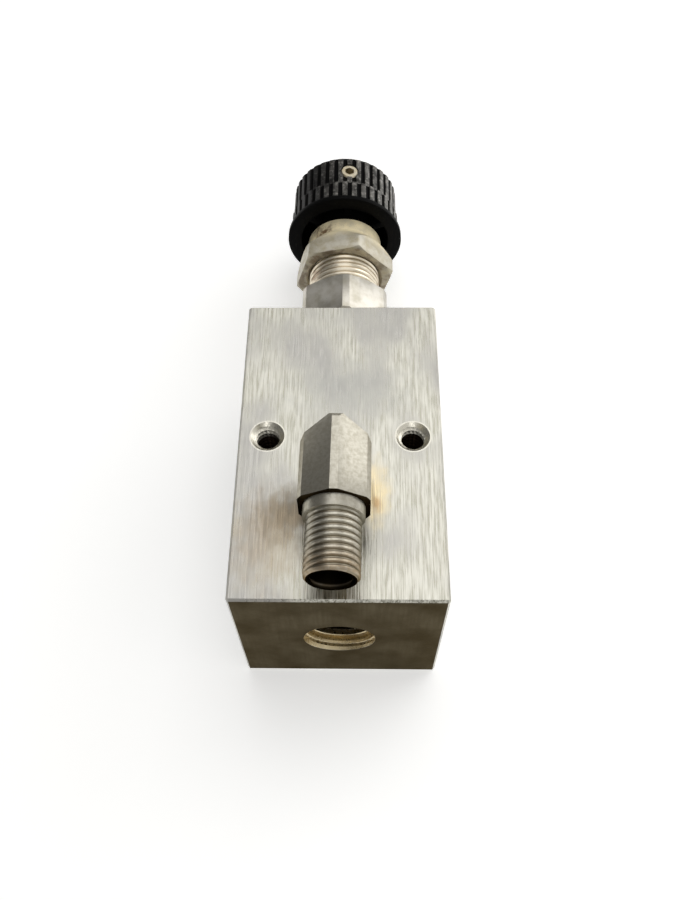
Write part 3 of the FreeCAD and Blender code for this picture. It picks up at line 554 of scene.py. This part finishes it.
# %% Dress the block
ALONG_Y = (0, 1, 0)
ALONG_Z = (0, 0, 1)
PORT_PITCH = 1.411 * MM
BOLT_PITCH = 1.27 * MM
PORT_RADIUS = 6.45 * MM
MOUTH_RADIUS = 7.1 * MM
BOLT_RADIUS = 2.55 * MM
in_port = (0, block_low.y + 4.7 * MM, axis_height)
in_mouth = (0, block_low.y + 2.0 * MM, axis_height)
block_threads = [
    thread_cutter("port_thread", in_port, ALONG_Y, PORT_RADIUS, PORT_PITCH, 7.4 * MM, inward=False),
    thread_cutter("mouth_thread", in_mouth, ALONG_Y, MOUTH_RADIUS, PORT_PITCH, 0.3 * MM, inward=False),
]
for name, x in (("left_hole_thread", -HOLE_X * MM), ("right_hole_thread", HOLE_X * MM)):
    block_threads.append(thread_cutter(name, (x, 0, 0), ALONG_Z, BOLT_RADIUS, BOLT_PITCH, block_high.z,
                                       inward=False, steps=20))
dressed("valve_block", ground_steel, cutters=block_threads)

# %% [markdown]
# The other steel pieces are turned or milled and then handled for years. Their flats are smooth, with a
# mottled skin of oil and fingerprints, fine pits a quarter of a millimetre wide, and rings from the lathe
# about a tenth of a millimetre apart. Dirt stays in the roots of a thread, where no rag reaches. A stretch
# of the piece may carry a tint, such as the tan of old thread sealant, and where that lies thick it
# scatters light as paint does, so the surface may be less of a metal there. Painted shade may darken what
# looks toward the port end. Soft patches may be laid on, stains on some pieces and painted shade on others,
# and holes may be painted dark inside as painted shade. One function makes them all, because only colours
# and sizes differ.

# %% Turned and handled metal
PIT_MM = 0.25
LATHE_RING_MM = 0.12
RELIEF_MM = 0.008


def handled_metal(name, clean, worn, dirt, roughness, blotch_mm, tint=None, tint_span=(0.0, 1.0),
                  tint_most=1.0, stains_and_shade=(), film_and_shade=None, film_and_shade_free=(0.0, 0.0), holes=(), metallic=1.0,
                  tint_metallic=None):
    """Metal with a mottled skin. A tint sets in between two places along Y, dirt lies in thread roots, and
    painted shade lies on what looks toward the port end, except between two places along Y."""
    material, tree, place, facing = start_finish(name, metallic)
    blotches = add(tree, "TexNoise", {"Vector": place, "Scale": 1 / blotch_mm, "Detail": 4.0,
                                      "Roughness": 0.6})
    pits = add(tree, "TexNoise", {"Vector": place, "Scale": 1 / PIT_MM, "Detail": 1.0})
    along_axis = (1 / 6, 1 / LATHE_RING_MM, 1 / 6)
    ringed = add(tree, "VectorMath", {0: place, 1: along_axis}, operation="MULTIPLY")
    rings = add(tree, "TexNoise", {"Vector": ringed, "Scale": 1.0, "Detail": 1.0})
    mottled = add(tree, "MapRange", {"Value": blotches, "From Min": 0.35, "From Max": 0.68},
                  interpolation_type="SMOOTHSTEP")
    colour = add(tree, "Mix", {0: mottled, 6: linear(clean), 7: linear(worn)}, out=2, data_type="RGBA")
    if tint:
        along = add(tree, "SeparateXYZ", {"Vector": place}, out="Y")
        reached = add(tree, "MapRange", {"Value": along, "From Min": tint_span[0], "From Max": tint_span[1],
                                         "To Max": tint_most}, interpolation_type="SMOOTHSTEP")
        patchy = add(tree, "MapRange", {"Value": blotches, "From Min": 0.30, "From Max": 0.60, "To Min": 0.6})
        share = add(tree, "Math", {0: reached, 1: patchy}, operation="MULTIPLY")
        colour = add(tree, "Mix", {0: share, 6: colour, 7: linear(tint)}, out=2, data_type="RGBA")
        if tint_metallic is not None:
            bare = add(tree, "MapRange", {"Value": share, "To Min": metallic, "To Max": tint_metallic})
            tree.links.new(bare, tree.nodes["Principled BSDF"].inputs["Metallic"])
    # Patches: stains, and on the nut and the set screw painted shade.
    for middle, reach, code, amount in stains_and_shade:
        colour = soft_patch(tree, colour, place, mottled, middle, reach, code, amount)
    pitted = add(tree, "MapRange", {"Value": pits, "From Min": 0.66, "From Max": 0.74, "To Max": 0.4})
    colour = add(tree, "Mix", {0: pitted, 6: colour, 7: linear(dirt)}, out=2, data_type="RGBA")
    # Painted shade on what looks toward the port end.
    if film_and_shade:
        along = add(tree, "SeparateXYZ", {"Vector": place}, out="Y")
        above = add(tree, "Math", {0: along, 1: film_and_shade_free[1]}, operation="GREATER_THAN")
        below = add(tree, "Math", {0: along, 1: film_and_shade_free[0]}, operation="LESS_THAN")
        there = add(tree, "Math", {0: above, 1: below}, operation="ADD")
        filmed = add(tree, "Math", {0: faces_port_end(tree, facing), 1: there}, operation="MULTIPLY")
        colour = add(tree, "Mix", {0: filmed, 6: colour, 7: linear(film_and_shade)}, out=2, data_type="RGBA")
    # Painted shade inside holes.
    for hole in holes:
        colour = painted_hole_light_and_shade(tree, colour, place, *hole)
    deep = add(tree, "Attribute", {}, out="Fac", attribute_name="thread_depth")
    dirty = add(tree, "MapRange", {"Value": deep, "From Min": 0.35, "From Max": 0.95},
                interpolation_type="SMOOTHSTEP")
    colour = add(tree, "Mix", {0: dirty, 6: colour, 7: linear(dirt)}, out=2, data_type="RGBA")
    rough = add(tree, "MapRange", {"Value": blotches, "From Min": 0.25, "From Max": 0.75, "To Min": roughness,
                                   "To Max": roughness + 0.12})
    height = add(tree, "Mix", {0: 0.5, 2: pits, 3: rings}, data_type="FLOAT")
    close_finish(tree, colour, rough, height, RELIEF_MM, colour if film_and_shade else None)
    return material


print("turned metal: pits", PIT_MM, "mm wide, lathe rings", LATHE_RING_MM, "mm apart")

# %% [markdown]
# The elbow is a small forging with a hexagon milled on both legs. It is duller and browner than the bar.
# Its tube thread is drawn with the 1.35 mm from turn to turn that the picture shows, grey dirt lies in the
# roots, and a brown stain grows towards the open end. The hexagon's end and the tube's rim are darkened
# with painted shade, but the thread between them is not. The bore is painted dark from its mouth, as
# painted shade.

# %% Elbow
TUBE_HEIGHT = 54.25
TUBE_RADIUS = 5.555 * MM
TUBE_PITCH = 1.35 * MM
TUBE_TILT = math.radians(1)
bore_mouth = (-1.03, -37.1, TUBE_HEIGHT)
# Painted shade: the bore's dark colour, and the 352D20 laid on what looks toward the port end.
painted_bore_shade = (bore_mouth, SQUARE_TO_Y, 4.6, -0.6, 0.4, "1C170E", 10.0)
elbow_steel = handled_metal("milled_stainless_forging", "BBB7AB", "ABA698", "8A8272", 0.30, 0.8,
                            tint="A08A6C", tint_span=(-30.0, -37.5), tint_most=0.7,
                            film_and_shade="352D20", film_and_shade_free=(-36.5, -24.0), holes=[painted_bore_shade])
tube_start = Vector((-0.6, -12.7, TUBE_HEIGHT)) * MM
tube_axis = Vector((-math.sin(TUBE_TILT), -math.cos(TUBE_TILT), 0))
first_turn = tube_start + tube_axis * 13.5 * MM
tube_thread = thread_cutter("tube_thread", first_turn, tube_axis, TUBE_RADIUS, TUBE_PITCH, 11.7 * MM,
                            steps=36, depth=0.36, mouth=0.34)
tube_zone = (tube_start, tube_axis, 12.3 * MM, 26 * MM, 5.50 * MM, 5.10 * MM)
dressed("elbow_fitting", elbow_steel, soften_mm=0.25, cutters=[tube_thread],
        thread_zones=[tube_zone])

# %% [markdown]
# The bonnet's hexagon is clean and close to a mirror, with long soft clouds. The panel thread above it, 16
# turns to the inch, is pale tan from old sealant, so the tint sets in sharply where the hexagon ends. The
# thread is browner on its left and right sides.

# %% Bonnet
panel_start_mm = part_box("panel_nut")[0].y / MM - 8.4
bonnet_brown_sides = (
    ((-9.0, panel_start_mm + 4.0, 27.0), (4.0, 6.0, 8.0), "7A5436", 0.70),
    ((9.8, panel_start_mm + 4.0, 24.0), (2.0, 6.0, 6.0), "8A6A48", 0.60),
)
bonnet_steel = handled_metal("turned_stainless_bonnet", "C9C5BC", "B2AD9F", "BFAF95", 0.26, 4.0,
                             tint="F4EAD6", tint_span=(panel_start_mm, panel_start_mm + 1.0),
                             stains_and_shade=bonnet_brown_sides)
PANEL_RADIUS = 9.525 * MM
PANEL_PITCH = 1.5875 * MM
panel_start = Vector((0, panel_start_mm * MM, axis_height))
first_turn = panel_start + Vector((0, 1.9 * MM, 0))
panel_thread = thread_cutter("panel_thread", first_turn, ALONG_Y, PANEL_RADIUS, PANEL_PITCH, 20.5 * MM,
                             steps=40, depth=0.30, mouth=0.34)
panel_zone = (panel_start, Vector(ALONG_Y), 1.0 * MM, 21 * MM, 9.45 * MM, 9.05 * MM)
dressed("bonnet", bonnet_steel, soften_mm=0.15, cutters=[panel_thread],
        thread_zones=[panel_zone])

# %% [markdown]
# The panel nut is plated steel, passivated to a pale straw colour. The chromate film scatters light, so the
# finish is only part metal. The flats are almost silver. The cone that faces the knob is yellower and
# hardly looks like metal, with a rusty patch on its left where the plating has gone. The cone's tint is
# also paler than the plating, as painted light, because the knob's shade would leave it dim. A brown band
# on the nut's lower face is painted shade.

# %% Panel nut
nut_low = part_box("panel_nut")[0].y / MM
nut_rust_and_shade = (
    ((-6.5, nut_low + 9.0, 30.5), (4.5, 4.5, 4.5), "6E4A2A", 0.90),
    # Painted shade: a brown band on the nut's lower face.
    ((0.0, nut_low - 0.2, axis_height / MM), (40.0, 0.6, 40.0), "6B583F", 0.75),
)
# The cone's tint FBECC4 is partly painted light.
nut_steel = handled_metal("straw_passivated_nut", "C6C1B3", "B4AB93", "7A5A38", 0.34, 2.6, tint="FBECC4",
                          tint_span=(nut_low + 4.0, nut_low + 8.0), stains_and_shade=nut_rust_and_shade, metallic=0.65,
                          tint_metallic=0.10)
dressed("panel_nut", nut_steel, soften_mm=0.15)

# %% [markdown]
# The knob is moulded from black phenolic, a hard plastic, in two fluted tiers over a flange. Its ridges
# have been rubbed to a dusty grey by many hands, while the grooves and the flange stay black and matt. The
# grey fades out to the left, as painted light from the lamp on the right, and pale flecks on the ridges are
# partly dust and partly painted highlights. Ridge and groove are told apart by the distance from the
# knob's axis, and the lower tier's ridges stand further out. A fine skin texture a quarter of a millimetre
# wide breaks up the reflections.

# %% Knob
RIDGE_FROM, RIDGE_TO = 14.35, 14.65
LOWER_TIER_HEIGHT = 7.7
LOWER_TIER_WIDER = 0.45
FLANGE_HEIGHT = 1.4
knob_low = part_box("knob")[0].y / MM


def moulded_phenolic():
    """Black plastic with worn ridges, lighter on the right as painted light."""
    material, tree, place, _ = start_finish("moulded_black_phenolic", 0.0)
    tree.nodes["Principled BSDF"].inputs["IOR"].default_value = 1.55
    dust = add(tree, "TexNoise", {"Vector": place, "Scale": 1 / 2.5, "Detail": 4.0, "Roughness": 0.65})
    skin = add(tree, "TexNoise", {"Vector": place, "Scale": 1 / 0.25, "Detail": 2.0})
    centred = add(tree, "VectorMath", {0: place, 1: (0, 0, -axis_height / MM)}, operation="ADD")
    flat = add(tree, "VectorMath", {0: centred, 1: (1, 0, 1)}, operation="MULTIPLY")
    radius = add(tree, "VectorMath", {0: flat}, out="Value", operation="LENGTH")
    along = add(tree, "SeparateXYZ", {"Vector": place}, out="Y")
    lower = add(tree, "Math", {0: along, 1: knob_low + LOWER_TIER_HEIGHT}, operation="LESS_THAN")
    wider = add(tree, "Math", {0: lower, 1: LOWER_TIER_WIDER}, operation="MULTIPLY")
    radius = add(tree, "Math", {0: radius, 1: wider}, operation="SUBTRACT")
    rim = add(tree, "MapRange", {"Value": radius, "From Min": RIDGE_FROM, "From Max": RIDGE_TO})
    off_flange = add(tree, "MapRange", {"Value": along, "From Min": knob_low + FLANGE_HEIGHT,
                                        "From Max": knob_low + FLANGE_HEIGHT + 0.8})
    patchy = add(tree, "MapRange", {"Value": dust, "From Min": 0.35, "From Max": 0.65, "To Min": 0.15})
    worn = add(tree, "Math", {0: rim, 1: patchy}, operation="MULTIPLY")
    worn = add(tree, "Math", {0: worn, 1: off_flange}, operation="MULTIPLY")
    # Painted light: the worn grey is faded out towards the left.
    sideways = add(tree, "SeparateXYZ", {"Vector": place}, out="X")
    lit_right_side = add(tree, "MapRange", {"Value": sideways, "From Min": -10.0, "From Max": 6.0,
                                         "To Min": 0.08}, interpolation_type="SMOOTHSTEP")
    worn = add(tree, "Math", {0: worn, 1: lit_right_side}, operation="MULTIPLY")
    gloss = add(tree, "MapRange", {"Value": worn, "To Min": 0.03, "To Max": 0.5})
    tree.links.new(gloss, tree.nodes["Principled BSDF"].inputs["Specular IOR Level"])
    colour = add(tree, "Mix", {0: dust, 6: linear("050505"), 7: linear("0C0C0C")}, out=2, data_type="RGBA")
    colour = add(tree, "Mix", {0: worn, 6: colour, 7: linear("6E6B66")}, out=2, data_type="RGBA")
    # Pale flecks on the worn ridges: dust and painted highlights.
    specks = add(tree, "TexNoise", {"Vector": place, "Scale": 1 / 0.9, "Detail": 2.0})
    dust_and_highlights = add(tree, "MapRange", {"Value": specks, "From Min": 0.52, "From Max": 0.66})
    dust_and_highlights = add(tree, "Math", {0: dust_and_highlights, 1: worn}, operation="MULTIPLY")
    colour = add(tree, "Mix", {0: dust_and_highlights, 6: colour, 7: linear("A9A6A0")}, out=2, data_type="RGBA")
    rough = add(tree, "MapRange", {"Value": dust, "From Min": 0.3, "From Max": 0.7, "To Min": 0.34,
                                   "To Max": 0.48})
    close_finish(tree, colour, rough, skin, 0.015)
    return material


knob_plastic = moulded_phenolic()
dressed("knob", knob_plastic, soften_mm=0.08)

# %% [markdown]
# The works inside are never seen unless the valve is taken apart, but each still gets its own finish:
# ground and hardened steel for what wears, drawn wire for the spring, brass for the knob's insert. The set
# screw is the one small piece in plain sight, a straw-coloured ring whose socket is painted dark as
# painted shade.

# %% Inner metal pieces
screw_low, screw_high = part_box("knob_set_screw")
screw_middle = (screw_low + screw_high) / 2 / MM
# Painted shade: the socket is painted dark.
socket_shade = (((screw_middle.x, screw_middle.y, screw_middle.z), (1.3, 1.3, 20.0), "1C1206", 0.95),)
hard_steel = handled_metal("hardened_ground_steel", "A8A8AA", "98989A", "2A2A2A", 0.22, 4.0)
spring_wire = handled_metal("drawn_spring_wire", "6E6C6A", "5A5856", "262422", 0.32, 3.0)
insert_brass = handled_metal("turned_brass", "D9B46A", "C29B55", "4A3418", 0.26, 3.0)
screw_steel = handled_metal("straw_passivated_screw", "DED6C2", "C9BB9C", "3C2A16", 0.36, 1.2,
                            stains_and_shade=socket_shade)
print(hard_steel.name, spring_wire.name, insert_brass.name, screw_steel.name)

# %% [markdown]
# Seals are nitrile rubber, black and dull, and the two slippery rings are white PTFE, whose skin is smooth
# but waxy. Neither is a metal, so both keep their colour from every side, with only faint clouds and an
# uneven skin.

# %% Seals and plastic rings
def moulded_seal(name, light, dark, ior, roughness, lump_mm, depth_mm):
    """Rubber or plastic with faint clouds, which also make its skin uneven."""
    material, tree, place, _ = start_finish(name, 0.0)
    tree.nodes["Principled BSDF"].inputs["IOR"].default_value = ior
    clouds = add(tree, "TexNoise", {"Vector": place, "Scale": 1 / lump_mm, "Detail": 3.0})
    colour = add(tree, "Mix", {0: clouds, 6: linear(light), 7: linear(dark)}, out=2, data_type="RGBA")
    rough = add(tree, "MapRange", {"Value": clouds, "From Min": 0.3, "From Max": 0.7, "To Min": roughness,
                                   "To Max": roughness + 0.12})
    close_finish(tree, colour, rough, clouds, depth_mm)
    return material


seal_rubber = moulded_seal("nitrile_rubber", "181818", "0E0E0E", 1.52, 0.45, 0.8, 0.02)
ring_plastic = moulded_seal("white_ptfe", "E6E1D4", "D8D1C0", 1.38, 0.38, 1.2, 0.01)
print(seal_rubber.name, ring_plastic.name)

# %% [markdown]
# These solids keep the shape that they were modelled with. Only their material slots are filled again.

# %% Finish the inner pieces
for node, material in {
    "seat_insert": hard_steel, "poppet": hard_steel, "lower_spring_guide": hard_steel,
    "upper_spring_guide": hard_steel, "thrust_disc": hard_steel, "adjusting_stem": hard_steel,
    "stem_stop_ring": spring_wire, "knob_insert": insert_brass,
    "knob_set_screw": screw_steel, "seat_seal": seal_rubber, "stem_seal": seal_rubber,
    "bonnet_seal": seal_rubber, "guide_ring": ring_plastic, "stem_backup_ring": ring_plastic,
}.items():
    nodes[node].data.materials.clear()
    nodes[node].data.materials.append(material)
print("inner pieces finished")

# %% [markdown]
# The spring is the one inner piece that changes its length. Its far end stays on the upper guide, and when
# the poppet lifts, the near end moves with it, so the spring loses as much length as the poppet gains in
# height. Here it is only dressed in drawn spring wire and given a mesh of its own.

# %% Spring
spring = dressed("main_spring", spring_wire)
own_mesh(spring)
